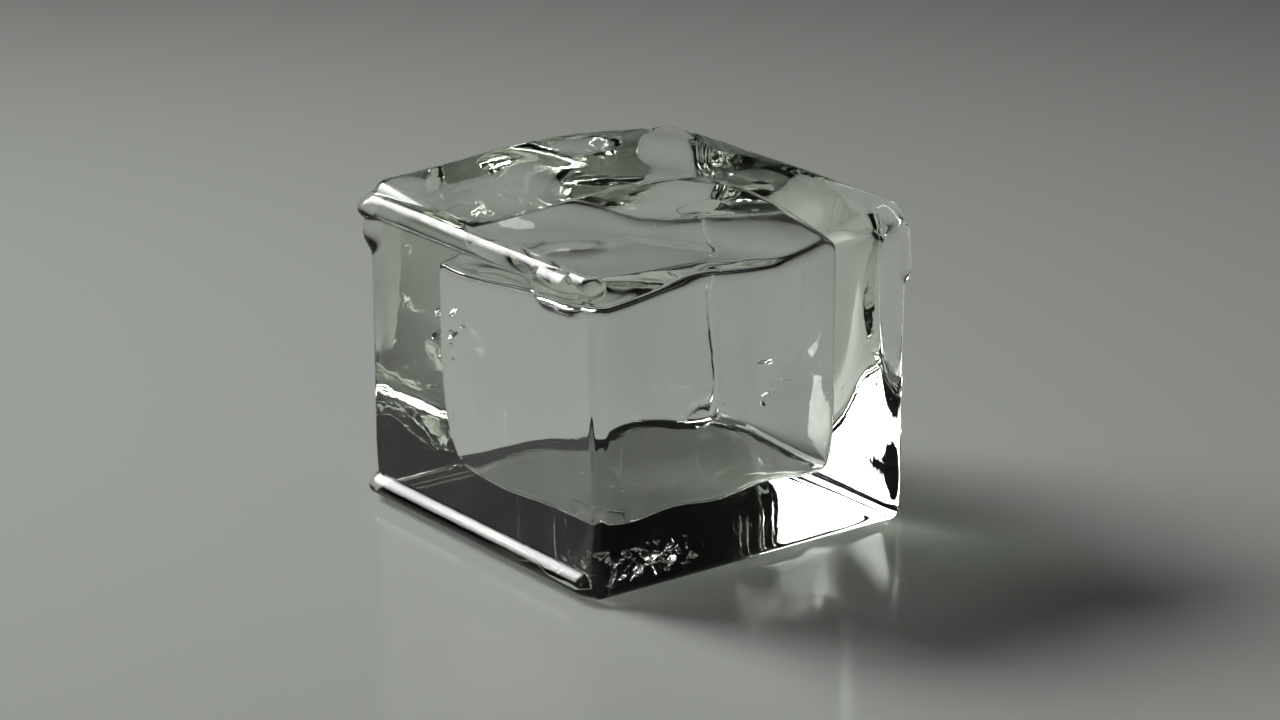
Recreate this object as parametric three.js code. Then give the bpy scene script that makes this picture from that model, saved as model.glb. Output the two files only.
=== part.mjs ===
// Clear ice cube, part melted: a square block with sharp upright edges, a wavy top that stands higher at
// the back, rounded beads of melt along two edges, and a flat underside to rest on.
// Millimetres, +Z up. The origin is at the middle of the underside, and the front corner is at -X -Y.
import * as THREE from "three";
import { mergeVertices } from "three/addons/utils/BufferGeometryUtils.js";

// Driving dimensions
const SIDE = 50; // between opposite upright faces
const HEIGHT = 42; // from the underside to the top of the front corner
const EDGE_RADII = { front: 0.8, left: 1.0, right: 1.4, back: 5.0 }; // of the four upright edges
const TOP_RADIUS = 2.2;
const FOOT_RADIUS = 1.6;

// Form of the top
const BACK_LIFT = 2.4; // how much higher the back half stands than the front corner
const LIFT_FROM = -0.4; // where the rise starts and ends, from -1 at the front corner to 1 at the back one
const LIFT_TO = 0.05;
const RIM_SAG = { depth: 2.2, along: 5, length: 15, width: 14 }; // dip of the right front rim
const WAVES = [
  { height: 0.45, x: 21, y: 34, phase: 0.6 },
  { height: 0.3, x: 37, y: -19, phase: 2.1 },
];

// Shallow wavy hollow that melting left in the back right face, beside the right corner
const SIDE_WAVE = { depth: 2.2, length: 40, lean: 0.35, phase: 1.0, fadeFrom: -14, fadeTo: 4, calmEnds: 6 };

// Fineness of the surface
const CELLS = 28; // along each edge of each face
const EDGE_CROWDING = 1.6; // above 1 draws the cells towards the edges
const WELD = 1e-4;

const HALF = SIDE / 2;
const MID = HEIGHT / 2;

// Beads of melt: a run from one point to another, its reach across, how far it stands proud, and how full
// it is across, where a lower number is fuller.
// A level bead stands out sideways only, so that it leaves the underside flat.
const BEADS = [
  // rim along the top of the left face
  { from: [0.4 - HALF, 1.5 - HALF, MID - 1], to: [0.4 - HALF, HALF, MID - 1], reach: 1.7, lift: 1.3, fullness: 0.75 },
  // drop that hangs from the front end of that rim
  { from: [-HALF, -19.5, MID - 2.8], to: [-HALF, -15, MID - 3], reach: 3, lift: 1.2, fullness: 1.2 },
  // drop at the left corner
  { from: [-HALF, HALF, MID - 3], to: [-HALF, HALF, MID - 4.5], reach: 3.6, lift: 1.2, fullness: 1.5 },
  // foot along the bottom of the left face
  {
    from: [-HALF, 3 - HALF, 1.5 - MID],
    to: [-HALF, HALF - 0.5, 1.5 - MID],
    reach: 1.9,
    lift: 1.4,
    fullness: 0.75,
    level: true,
  },
  // trickle down the right corner
  {
    from: [HALF, -HALF, MID - 2],
    to: [HALF, -HALF, MID - 7.5],
    reach: 1.8,
    lift: 0.9,
    fullness: 1.5,
    level: true,
  },
];

// Rises smoothly from 0 at low to 1 at high.
function ease(low, high, value) {
  return THREE.MathUtils.smoothstep(value, low, high);
}

// Moves grid lines towards the ends of the range from -1 to 1.
function crowd(t) {
  return Math.sign(t) * (1 - (1 - Math.abs(t)) ** EDGE_CROWDING);
}

// Radius of the rounding at a place on the box, given from -1 to 1 along each axis.
function roundingAt(place) {
  const { x, y, z } = place;
  const upright =
    (EDGE_RADII.front * (1 - x) * (1 - y) +
      EDGE_RADII.left * (1 - x) * (1 + y) +
      EDGE_RADII.right * (1 + x) * (1 - y) +
      EDGE_RADII.back * (1 + x) * (1 + y)) /
    4;
  const level = z > 0 ? TOP_RADIUS : FOOT_RADIUS;
  return THREE.MathUtils.lerp(upright, level, ease(0.6, 0.95, Math.abs(z)));
}

// Height added to the top: the rise to the back, the dip of the right front rim, and the waves.
function topRise(point, outward, place) {
  const { x, y } = point;
  const towardsBack = (x + y) / SIDE;
  const along = (x - RIM_SAG.along) / RIM_SAG.length;
  const inwards = (y + HALF) / RIM_SAG.width;
  const slope = BACK_LIFT * ease(LIFT_FROM, LIFT_TO, towardsBack);
  const dip = RIM_SAG.depth * Math.exp(-(along ** 2) - inwards ** 2);
  let swell = 0;
  for (const wave of WAVES) {
    swell += wave.height * Math.sin(2 * Math.PI * (x / wave.x + y / wave.y) + wave.phase);
  }
  const inside = (1 - (x / HALF) ** 4) * (1 - (y / HALF) ** 4);
  const calmAtRim = ease(0.2, 1, outward.z) * THREE.MathUtils.clamp(inside, 0, 1);
  return ease(-0.2, 0.6, place.z) * (slope - dip) + swell * calmAtRim;
}

// How far the hollow in the back right face moves a point along X.
function sideWave(point, outward) {
  const { length, lean, phase, fadeFrom, fadeTo, calmEnds } = SIDE_WAVE;
  const up = point.z + MID;
  const calmAbove = 1 - ease(HEIGHT - calmEnds, HEIGHT, up);
  const calmAside = ease(-HALF, calmEnds - HALF, point.y) * (1 - ease(fadeFrom, fadeTo, point.y));
  const calm = ease(0, calmEnds, up) * calmAbove * calmAside;
  const wave = Math.sin((2 * Math.PI * (up + lean * point.y)) / length + phase);
  return (SIDE_WAVE.depth * calm * ease(0.5, 1, outward.x) * (wave - 1)) / 2;
}

// How far a bead moves a point outwards.
function beadLift(bead, point) {
  const run = new THREE.Line3(new THREE.Vector3(...bead.from), new THREE.Vector3(...bead.to));
  const nearest = run.closestPointToPoint(point, true, new THREE.Vector3());
  const across = Math.min(point.distanceTo(nearest) / bead.reach, 1);
  return bead.lift * (1 - across ** 2) ** bead.fullness;
}

// Takes a place on the box to its point on the melted surface.
function meltedPoint(place) {
  const half = new THREE.Vector3(HALF, HALF, MID);
  const radius = roundingAt(place);
  const inner = half.clone().subScalar(radius);
  const onBox = place.clone().multiply(half);
  const core = onBox.clone().clamp(inner.clone().negate(), inner);
  const outward = onBox.sub(core).normalize();
  const point = core.addScaledVector(outward, radius);
  const wave = sideWave(point, outward);
  point.z += topRise(point, outward, place);
  point.x += wave;
  const sideways = new THREE.Vector3(outward.x, outward.y, 0);
  for (const bead of BEADS) {
    point.addScaledVector(bead.level ? sideways : outward, beadLift(bead, point));
  }
  return point;
}

function iceGeometry() {
  const box = new THREE.BoxGeometry(2, 2, 2, CELLS, CELLS, CELLS);
  box.deleteAttribute("normal");
  box.deleteAttribute("uv");
  const geometry = mergeVertices(box, WELD);
  const position = geometry.getAttribute("position");
  const place = new THREE.Vector3();
  for (let i = 0; i < position.count; i += 1) {
    place.fromBufferAttribute(position, i);
    place.set(crowd(place.x), crowd(place.y), crowd(place.z));
    const point = meltedPoint(place);
    position.setXYZ(i, point.x, point.y, point.z);
  }
  geometry.computeBoundingBox();
  const middle = geometry.boundingBox.getCenter(new THREE.Vector3());
  geometry.translate(-middle.x, -middle.y, -geometry.boundingBox.min.z);
  geometry.computeVertexNormals();
  return geometry;
}

function iceCube() {
  const ice = new THREE.MeshStandardMaterial({ color: 0xdfe5dd, roughness: 0.03, metalness: 0 });
  const mesh = new THREE.Mesh(iceGeometry(), ice);
  mesh.name = "ice_cube";
  return mesh;
}

const part = new THREE.Group();
part.add(iceCube());

export default part;
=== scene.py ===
import math

import bpy
import numpy as np
from mathutils import Matrix, Vector


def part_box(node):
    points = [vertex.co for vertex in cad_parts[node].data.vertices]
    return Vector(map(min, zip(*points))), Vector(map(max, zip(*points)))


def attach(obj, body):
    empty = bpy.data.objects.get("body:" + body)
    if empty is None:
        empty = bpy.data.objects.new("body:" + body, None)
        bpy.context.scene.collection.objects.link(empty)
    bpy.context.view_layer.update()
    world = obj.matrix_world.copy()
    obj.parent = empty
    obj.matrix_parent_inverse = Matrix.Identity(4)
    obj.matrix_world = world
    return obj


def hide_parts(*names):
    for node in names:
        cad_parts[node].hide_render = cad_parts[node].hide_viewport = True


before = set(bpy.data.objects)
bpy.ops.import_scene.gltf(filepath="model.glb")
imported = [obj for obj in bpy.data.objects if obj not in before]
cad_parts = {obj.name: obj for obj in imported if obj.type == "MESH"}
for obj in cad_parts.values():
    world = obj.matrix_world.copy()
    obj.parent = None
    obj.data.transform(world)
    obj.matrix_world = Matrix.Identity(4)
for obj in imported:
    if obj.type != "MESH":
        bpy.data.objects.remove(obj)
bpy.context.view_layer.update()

cad_low, cad_high = (np.array(corner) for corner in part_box("ice_cube"))
MM = 0.001

# Outer form, in millimetres, with the middle of the block as its origin and the front corner at -X -Y
SIDE = 50.0
HEIGHT = 42.0
HALF = SIDE / 2
MID = HEIGHT / 2
FRONT_RADIUS = 0.8
LEFT_RADIUS = 1.0
RIGHT_RADIUS = 1.4
BACK_RADIUS = 7.0
TOP_RADIUS = 2.2
FOOT_RADIUS = 1.6
OUTER_CELLS = 106
HOLLOW_CELLS = 52
EDGE_CROWDING = 1.6
CAP_FROM = 0.6
CAP_TO = 0.95
SIDEWAYS = np.array([1.0, 1.0, 0.0])

# Form of the top
BACK_LIFT = 2.4
LIFT_FROM = -0.4
LIFT_TO = 0.05
RISE_FROM = -0.2
RISE_TO = 0.6
SWELL_FACING = 0.2
SAG_DEPTH = 2.2
SAG_ALONG = 5.0
SAG_LENGTH = 15.0
SAG_WIDTH = 14.0
HUMP_HEIGHT = 1.5
HUMP_X = 2.0
HUMP_LENGTH = 15.0
HUMP_WIDTH = 14.0
TOP_WAVES = [  # height, length along x, length along y, phase
    (0.38, 25.0, 36.0, 0.6),
    (0.24, 37.0, -21.0, 2.1),
]

# Shallow wavy hollow that melting left in the back right face, beside the right corner
SIDE_WAVE = 2.2
SIDE_WAVE_LENGTH = 40.0
SIDE_WAVE_LEAN = 0.35
SIDE_WAVE_PHASE = 1.0
SIDE_FADE_FROM = -14.0
SIDE_FADE_TO = 4.0
CALM_ENDS = 6.0
SIDE_FACING = 0.5

# Beads of melt: from, to, reach across, how far it stands proud, how full it is, and whether it stands out
# sideways only
BEADS = [
    # rim along the top of the left face
    ((0.4 - HALF, 1.5 - HALF, MID - 1.0), (0.4 - HALF, HALF, MID - 1.0), 1.7, 1.3, 0.75, False),
    # drop that hangs from the front end of that rim
    ((-HALF, -19.5, MID - 2.8), (-HALF, -15.0, MID - 3.0), 3.0, 1.2, 1.2, False),
    # drop at the left corner
    ((-HALF, HALF, MID - 3.0), (-HALF, HALF, MID - 4.5), 3.6, 1.2, 1.5, False),
    # foot along the bottom of the left face
    ((-HALF, 3 - HALF, 1.5 - MID), (-HALF, HALF - 0.5, 1.5 - MID), 1.9, 1.4, 0.75, True),
    # trickle down the right corner
    ((HALF, -HALF, MID - 2.0), (HALF, -HALF, MID - 7.5), 1.8, 0.9, 1.5, True),
]

# Closed hollow inside the ice
HOLLOW_LEFT = -23.8
HOLLOW_RIGHT = 13.7
HOLLOW_FRONT = -23.8
HOLLOW_FAR_LEFT = 10.0
HOLLOW_FAR_RIGHT = 1.0
HOLLOW_LEAN = 2.0
HOLLOW_LEFT_DROP = 5.0
HOLLOW_LEFT_ROUND = 0.32
HOLLOW_RIGHT_ROUND = 1.5
HOLLOW_RIGHT_RISE = 0.25
HOLLOW_RIGHT_FROM = 0.5
HOLLOW_FLOOR = 9.5
HOLLOW_FLOOR_TILT = 0.5
HOLLOW_RADIUS = 1.0
HOLLOW_SIZE = np.array([18.6, 14.0, 15.0])
ROOF = 1.4
ROOF_LEFT = 2.6
ROOF_LEFT_REACH = 0.5
ROOF_BACK = 2.0
ROOF_BACK_FROM = 0.2
FAR_WAVE = 1.4
FAR_WAVE_LENGTH = 18.0
FAR_WAVE_PHASE = 0.8
FAR_WAVE_RISE = 0.6
FRONT_CUT = 1.8
FRONT_CUT_REACH = 9.0
FRONT_CUT_RISE = 0.12
FLOOR_DENT = 0.35
FLOOR_DENT_LENGTH = 15.0
FLOOR_DENT_PHASE = 1.0
FLOOR_DENT_SLANT = 0.6

# Clear ice
ICE_IOR = 1.31
ICE_TINT = (0.78, 0.88, 0.68, 1)
ICE_TINT_DENSITY = 8.0
HAZE_SCALE = 90.0
HAZE_DETAIL = 4.0
HAZE_FROM = 0.45
HAZE_TO = 0.75
HAZE_ROUGHNESS = 0.03
RIPPLE_SCALE = 240.0
RIPPLE_DETAIL = 2.0
RIPPLE_STRENGTH = 0.04
RIPPLE_HEIGHT = 0.0006

# Flaws inside the ice: each group's seed, count, two corners of its room with heights above the underside,
# smallest and largest radius, and flatness
FLAWS = [
    # frost along the foot of the right front face
    (3, 110, (-23.0, -23.8, 1.0), (-9.0, -20.0, 5.5), (0.15, 0.9), 0.10),
    # frost along the foot of the left face
    (4, 30, (-23.8, -21.0, 1.0), (-21.0, -15.0, 4.0), (0.15, 0.7), 0.10),
    # bubbles under the hollow's floor
    (5, 16, (-12.0, -15.0, 7.9), (1.0, -4.0, 8.4), (0.10, 0.28), 1.0),
    # fine bubbles in the back right wall
    (6, 26, (15.0, -23.0, 6.0), (21.5, 18.0, 36.0), (0.05, 0.12), 1.0),
    # fine bubbles in the back left wall
    (7, 20, (-22.0, 13.0, 6.0), (20.0, 23.0, 36.0), (0.05, 0.12), 1.0),
    # flat flakes at the left end of the back left wall
    (8, 7, (-21.0, 11.5, 21.0), (-16.5, 14.0, 33.0), (0.4, 1.3), 0.15),
    # thin cracks in the back right wall
    (9, 6, (15.8, -13.0, 11.0), (18.5, -5.0, 22.0), (0.8, 1.6), 0.04),
]
FLAW_RINGS = 6
FLAW_SPOKES = 8
FLAW_LEAN = 0.5
FLAW_NARROWEST = 0.5
POLE_GAP = 0.02

# Floor, in metres
FLOOR_REACH = 3.0
FLOOR_LEVEL = -0.0002
FLOOR_COLOUR = (0.445, 0.465, 0.435, 1)
FLOOR_ROUGHNESS = 0.12
FLOOR_GLOSS = 0.02

# Camera, in metres, with its lens in millimetres
YAW = math.radians(37.1)
PITCH = math.radians(17.9)
CAMERA_DISTANCE = 0.4525
CAMERA_RIGHT = 0.00045
CAMERA_DOWN = 0.00025
CAMERA_SENSOR = 36.0
CAMERA_LENS = 97.5
CAMERA_CLIP = 0.01
view = Vector((math.sin(YAW) * math.cos(PITCH), math.cos(YAW) * math.cos(PITCH), -math.sin(PITCH)))
right = Vector((math.cos(YAW), -math.sin(YAW), 0.0))
away = Vector((math.sin(YAW), math.cos(YAW), 0.0))
up = right.cross(view)

# Light, in metres: a direction is given by its shares to the right, away from the camera and upwards
KEY_ASIDE = 0.16
KEY_DIRECTION = (-0.69, 0.415, 0.59)
KEY_LONG_AXIS = (0.70, 0.53, 0.47)
KEY_DISTANCE = 0.9
KEY_WIDTH = 0.74
KEY_HEIGHT = 0.36
KEY_POWER = 1.8
KEY_SPREAD = 55.0
ROOM_LIGHT = 0.003
ROOM_COLOUR = (0.9, 1.0, 0.95, 1)


def ease(low, high, value):
    """Rises smoothly from 0 at low to 1 at high."""
    share = np.clip((value - low) / (high - low), 0.0, 1.0)
    return share * share * (3.0 - 2.0 * share)


def unit_rows(vectors):
    """Vectors of length 1 in the same directions."""
    return vectors / np.linalg.norm(vectors, axis=1)[:, None]


def quarter_round(share):
    """Depth of a quarter circle, from 1 where share is 0 to 0 where share is 1."""
    return 1.0 - np.sqrt(np.clip(1.0 - (1.0 - np.clip(share, 0.0, 1.0)) ** 2, 0.0, 1.0))


def box_grid(cells):
    """Places from -1 to 1 over a box, crowded towards its edges, and the quads that join them."""
    index = np.full((cells + 1,) * 3, -1)
    shell = np.zeros(index.shape, dtype=bool)
    for axis in range(3):
        np.moveaxis(shell, axis, 0)[[0, -1]] = True
    index[shell] = np.arange(shell.sum())
    line = np.linspace(-1.0, 1.0, cells + 1)
    line = np.sign(line) * (1.0 - (1.0 - np.abs(line)) ** EDGE_CROWDING)
    quads = []
    for axis in range(3):
        for side in (0, -1):
            sheet = np.moveaxis(index, axis, 0)[side]
            ring = [sheet[:-1, :-1], sheet[1:, :-1], sheet[1:, 1:], sheet[:-1, 1:]]
            if (side == -1) == (axis == 1):
                ring.reverse()
            quads.append(np.stack(ring, axis=-1).reshape(-1, 4))
    return line[np.argwhere(shell)], np.concatenate(quads)


def rounded_box(places, half, radius):
    """Points on a rounded box and the directions in which they face."""
    on_box = places * half
    inner = half - radius
    core = np.clip(on_box, -inner, inner)
    outward = unit_rows(on_box - core)
    return core + outward * radius, outward


def rounding_at(places):
    """Radius of the outer edges near each place on the box."""
    x, y, z = places.T
    upright = (
        FRONT_RADIUS * (1 - x) * (1 - y)
        + LEFT_RADIUS * (1 - x) * (1 + y)
        + RIGHT_RADIUS * (1 + x) * (1 - y)
        + BACK_RADIUS * (1 + x) * (1 + y)
    ) / 4
    level = np.where(z > 0, TOP_RADIUS, FOOT_RADIUS)
    cap = ease(CAP_FROM, CAP_TO, np.abs(z))
    return (upright * (1 - cap) + level * cap)[:, None]


def top_slope(x, y):
    """Height added to the top by its rise to the back, its hump and the dip of the right front rim."""
    along = (x - SAG_ALONG) / SAG_LENGTH
    inwards = (y + HALF) / SAG_WIDTH
    dip = SAG_DEPTH * np.exp(-(along**2) - inwards**2)
    hump = HUMP_HEIGHT * np.exp(-(((x - HUMP_X) / HUMP_LENGTH) ** 2) - ((y - HALF) / HUMP_WIDTH) ** 2)
    return BACK_LIFT * ease(LIFT_FROM, LIFT_TO, (x + y) / SIDE) - dip + hump


def top_swell(x, y):
    """Height added to the top by its waves, which die out towards the edges."""
    total = 0.0
    for height, length_x, length_y, phase in TOP_WAVES:
        total = total + height * np.sin(2 * math.pi * (x / length_x + y / length_y) + phase)
    inside = (1 - (x / HALF) ** 4) * (1 - (y / HALF) ** 4)
    return total * np.clip(inside, 0.0, 1.0)


def raise_bead(points, outward, start, end, reach, lift, fullness):
    """Points moved outwards where they are near the run from start to end."""
    start = np.array(start)
    run = np.array(end) - start
    share = np.clip((points - start) @ run / (run @ run), 0.0, 1.0)
    gap = np.linalg.norm(points - start - share[:, None] * run, axis=1)
    proud = lift * np.clip(1.0 - (gap / reach) ** 2, 0.0, 1.0) ** fullness
    return points + outward * proud[:, None]


def melted_block(places):
    """Points of the outer surface for places on the box."""
    half = np.array([HALF, HALF, MID])
    points, outward = rounded_box(places, half, rounding_at(places))
    x, y, z = points.T.copy()
    points[:, 2] += ease(RISE_FROM, RISE_TO, places[:, 2]) * top_slope(x, y)
    points[:, 2] += top_swell(x, y) * ease(SWELL_FACING, 1.0, outward[:, 2])
    height = z + MID
    calm = ease(0.0, CALM_ENDS, height) * (1 - ease(HEIGHT - CALM_ENDS, HEIGHT, height))
    calm = calm * ease(-HALF, CALM_ENDS - HALF, y) * (1 - ease(SIDE_FADE_FROM, SIDE_FADE_TO, y))
    wave = np.sin(2 * math.pi * (height + SIDE_WAVE_LEAN * y) / SIDE_WAVE_LENGTH + SIDE_WAVE_PHASE)
    points[:, 0] += SIDE_WAVE * calm * ease(SIDE_FACING, 1.0, outward[:, 0]) * (wave - 1) / 2
    for start, end, reach, lift, fullness, level in BEADS:
        way = outward * SIDEWAYS if level else outward
        points = raise_bead(points, way, start, end, reach, lift, fullness)
    return points


def hollow(places):
    """Points of the surface around the hollow for places on the box."""
    points, _ = rounded_box(places, HOLLOW_SIZE, HOLLOW_RADIUS)
    across, inwards, upwards = ((points / HOLLOW_SIZE).T + 1) / 2
    x = HOLLOW_LEFT + (HOLLOW_RIGHT - HOLLOW_LEFT) * across
    right_round = HOLLOW_RIGHT_ROUND * quarter_round(upwards / HOLLOW_RIGHT_RISE)
    x = x - right_round * ease(HOLLOW_RIGHT_FROM, 1.0, across)
    far_left = HOLLOW_FAR_LEFT - HOLLOW_LEFT_DROP * quarter_round(upwards / HOLLOW_LEFT_ROUND)
    far_right = HOLLOW_FAR_RIGHT + HOLLOW_LEAN * upwards
    ripple = FAR_WAVE * np.sin(2 * math.pi * x / FAR_WAVE_LENGTH + FAR_WAVE_PHASE)
    far = far_left + (far_right - far_left) * across + ripple * (1 - ease(0.0, FAR_WAVE_RISE, upwards))
    y = HOLLOW_FRONT + (far - HOLLOW_FRONT) * inwards
    from_corner = (x - HOLLOW_LEFT + y - HOLLOW_FRONT) / FRONT_CUT_REACH
    cut = FRONT_CUT * (1 - ease(0.0, 1.0, from_corner)) * (1 - ease(0.0, FRONT_CUT_RISE, upwards))
    x = x + cut
    y = y + cut
    slanted = x - FLOOR_DENT_SLANT * y
    dents = FLOOR_DENT * np.sin(2 * math.pi * slanted / FLOOR_DENT_LENGTH + FLOOR_DENT_PHASE)
    floor = HOLLOW_FLOOR + HOLLOW_FLOOR_TILT * (across - 0.5) + dents - MID
    cover = ROOF + ROOF_LEFT * (1 - ease(0.0, ROOF_LEFT_REACH, across))
    cover = cover + ROOF_BACK * ease(ROOF_BACK_FROM, 1.0, inwards)
    roof = MID + top_slope(x, y) - cover
    return np.stack([x, y, floor + (roof - floor) * upwards], axis=1)


def ball_grid():
    """Points and quads of a ball of radius 1, and the two small faces that close its poles."""
    points = []
    faces = []
    for ring in range(FLAW_RINGS + 1):
        fall = math.pi * (ring + POLE_GAP) / (FLAW_RINGS + 2 * POLE_GAP)
        for spoke in range(FLAW_SPOKES):
            turn = 2 * math.pi * spoke / FLAW_SPOKES
            points.append((math.sin(fall) * math.cos(turn), math.sin(fall) * math.sin(turn), math.cos(fall)))
    for ring in range(FLAW_RINGS):
        for spoke in range(FLAW_SPOKES):
            here = ring * FLAW_SPOKES + spoke
            beside = ring * FLAW_SPOKES + (spoke + 1) % FLAW_SPOKES
            faces.append((here, here + FLAW_SPOKES, beside + FLAW_SPOKES, beside))
    caps = [tuple(range(FLAW_SPOKES)), tuple(range(len(points) - 1, len(points) - 1 - FLAW_SPOKES, -1))]
    return np.array(points), np.array(faces), caps


def flaws():
    """Small closed bubbles and flat cracks, with their faces turned into the ice."""
    ball, sides, caps = ball_grid()
    all_points = []
    all_faces = []
    for seed, count, low, high, radii, flatness in FLAWS:
        chance = np.random.default_rng(seed)
        for _ in range(count):
            middle = chance.uniform(low, high) - np.array([0.0, 0.0, MID])
            radius = radii[0] + (radii[1] - radii[0]) * chance.random() ** 2
            shape = radius * np.array([1.0, chance.uniform(FLAW_NARROWEST, 1.0) ** (1 - flatness), flatness])
            pitch = Matrix.Rotation(chance.normal(0.0, FLAW_LEAN), 3, "X")
            roll = Matrix.Rotation(chance.normal(0.0, FLAW_LEAN), 3, "Y")
            spin = Matrix.Rotation(chance.uniform(0.0, math.pi), 3, "Z")
            points = (ball * shape) @ np.array(pitch @ roll @ spin).T + middle
            start = sum(len(part) for part in all_points)
            all_points.append(points)
            for face in sides.tolist() + caps:
                all_faces.append([corner + start for corner in reversed(face)])
    return np.concatenate(all_points), all_faces


def new_mesh(name, points, faces, material):
    """Smooth mesh object, linked into the scene."""
    mesh = bpy.data.meshes.new(name)
    mesh.from_pydata(points.tolist(), [], faces)
    mesh.polygons.foreach_set("use_smooth", [True] * len(mesh.polygons))
    mesh.materials.append(material)
    mesh.update()
    piece = bpy.data.objects.new(name, mesh)
    bpy.context.scene.collection.objects.link(piece)
    return piece


def ice_material():
    """Clear, faintly green ice with patches of thin haze and a fine ripple."""
    material = bpy.data.materials.new("clear ice")
    material.use_nodes = True
    nodes = material.node_tree.nodes
    links = material.node_tree.links
    shader = nodes["Principled BSDF"]
    shader.inputs["Base Color"].default_value = (1, 1, 1, 1)
    shader.inputs["IOR"].default_value = ICE_IOR
    shader.inputs["Transmission Weight"].default_value = 1.0
    place = nodes.new("ShaderNodeTexCoord")
    haze = nodes.new("ShaderNodeTexNoise")
    haze.inputs["Scale"].default_value = HAZE_SCALE
    haze.inputs["Detail"].default_value = HAZE_DETAIL
    haze_range = nodes.new("ShaderNodeMapRange")
    haze_range.inputs["From Min"].default_value = HAZE_FROM
    haze_range.inputs["From Max"].default_value = HAZE_TO
    haze_range.inputs["To Min"].default_value = 0.0
    haze_range.inputs["To Max"].default_value = HAZE_ROUGHNESS
    ripple = nodes.new("ShaderNodeTexNoise")
    ripple.inputs["Scale"].default_value = RIPPLE_SCALE
    ripple.inputs["Detail"].default_value = RIPPLE_DETAIL
    bump = nodes.new("ShaderNodeBump")
    bump.inputs["Strength"].default_value = RIPPLE_STRENGTH
    bump.inputs["Distance"].default_value = RIPPLE_HEIGHT
    links.new(place.outputs["Object"], haze.inputs["Vector"])
    links.new(place.outputs["Object"], ripple.inputs["Vector"])
    links.new(haze.outputs["Fac"], haze_range.inputs["Value"])
    links.new(haze_range.outputs["Result"], shader.inputs["Roughness"])
    links.new(ripple.outputs["Fac"], bump.inputs["Height"])
    links.new(bump.outputs["Normal"], shader.inputs["Normal"])
    depth = nodes.new("ShaderNodeVolumeAbsorption")
    depth.inputs["Color"].default_value = ICE_TINT
    depth.inputs["Density"].default_value = ICE_TINT_DENSITY
    links.new(depth.outputs["Volume"], nodes["Material Output"].inputs["Volume"])
    return material


def floor_material():
    """Plain pale floor with very little gloss."""
    material = bpy.data.materials.new("floor")
    material.use_nodes = True
    shader = material.node_tree.nodes["Principled BSDF"]
    shader.inputs["Base Color"].default_value = FLOOR_COLOUR
    shader.inputs["Roughness"].default_value = FLOOR_ROUGHNESS
    shader.inputs["Specular IOR Level"].default_value = FLOOR_GLOSS
    return material


def seen_direction(right_share, away_share, up_share):
    """Direction given by its shares to the camera's right, away from it and upwards."""
    return right * right_share + away * away_share + Vector((0, 0, up_share))


def add_key_light():
    """Softbox above and behind the block, to its left, aimed past its left side."""
    towards = seen_direction(*KEY_DIRECTION).normalized()
    along = seen_direction(*KEY_LONG_AXIS)
    along = (along - towards * along.dot(towards)).normalized()
    data = bpy.data.lights.new("key", "AREA")
    data.shape = "RECTANGLE"
    data.size = KEY_WIDTH
    data.size_y = KEY_HEIGHT
    data.energy = KEY_POWER
    data.spread = math.radians(KEY_SPREAD)
    light = bpy.data.objects.new("key", data)
    bpy.context.scene.collection.objects.link(light)
    place = Matrix((along, towards.cross(along), towards)).transposed().to_4x4()
    place.translation = Vector((0, 0, MID * MM)) + towards * KEY_DISTANCE - right * KEY_ASIDE
    light.matrix_world = place


# The ice: its outer surface, with the surfaces of the hollow and the flaws facing into it
outer_places, outer_quads = box_grid(OUTER_CELLS)
outer_points = melted_block(outer_places)
block_low = outer_points.min(axis=0)
block_high = outer_points.max(axis=0)
hollow_places, hollow_quads = box_grid(HOLLOW_CELLS)
hollow_points = hollow(hollow_places)
flaw_points, flaw_faces = flaws()
ice_points = np.concatenate([outer_points, hollow_points, flaw_points])
ice_faces = outer_quads.tolist() + (hollow_quads[:, ::-1] + len(outer_points)).tolist()
flaw_start = len(outer_points) + len(hollow_points)
ice_faces += [[corner + flaw_start for corner in face] for face in flaw_faces]
# The form is fitted, axis by axis, to the box of the solid that it replaces
fit = (cad_high - cad_low) / (block_high - block_low)
ice_points = cad_low + (ice_points - block_low) * fit
ice = new_mesh("ice", ice_points, ice_faces, ice_material())
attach(ice, "root")
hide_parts("ice_cube")
block_middle = Vector(cad_low - block_low * fit)

# Floor
floor_corners = [
    (-FLOOR_REACH, -FLOOR_REACH, FLOOR_LEVEL),
    (FLOOR_REACH, -FLOOR_REACH, FLOOR_LEVEL),
    (FLOOR_REACH, FLOOR_REACH, FLOOR_LEVEL),
    (-FLOOR_REACH, FLOOR_REACH, FLOOR_LEVEL),
]
floor = new_mesh("floor", np.array(floor_corners), [(0, 1, 2, 3)], floor_material())

# Camera
camera_data = bpy.data.cameras.new("camera")
camera_data.sensor_width = CAMERA_SENSOR
camera_data.lens = CAMERA_LENS
camera_data.clip_start = CAMERA_CLIP
camera = bpy.data.objects.new("camera", camera_data)
bpy.context.scene.collection.objects.link(camera)
camera.location = block_middle - view * CAMERA_DISTANCE + right * CAMERA_RIGHT - up * CAMERA_DOWN
camera.rotation_euler = view.to_track_quat("-Z", "Y").to_euler()
bpy.context.scene.camera = camera

# Light
add_key_light()
world = bpy.data.worlds.new("studio")
world.use_nodes = True
world.node_tree.nodes["Background"].inputs["Color"].default_value = ROOM_COLOUR
world.node_tree.nodes["Background"].inputs["Strength"].default_value = ROOM_LIGHT
scene = bpy.context.scene
scene.world = world
scene.cycles.max_bounces = 24
scene.cycles.glossy_bounces = 20
scene.cycles.transmission_bounces = 20
scene.cycles.diffuse_bounces = 3
scene.cycles.use_denoising = True
scene.view_settings.view_transform = "Standard"
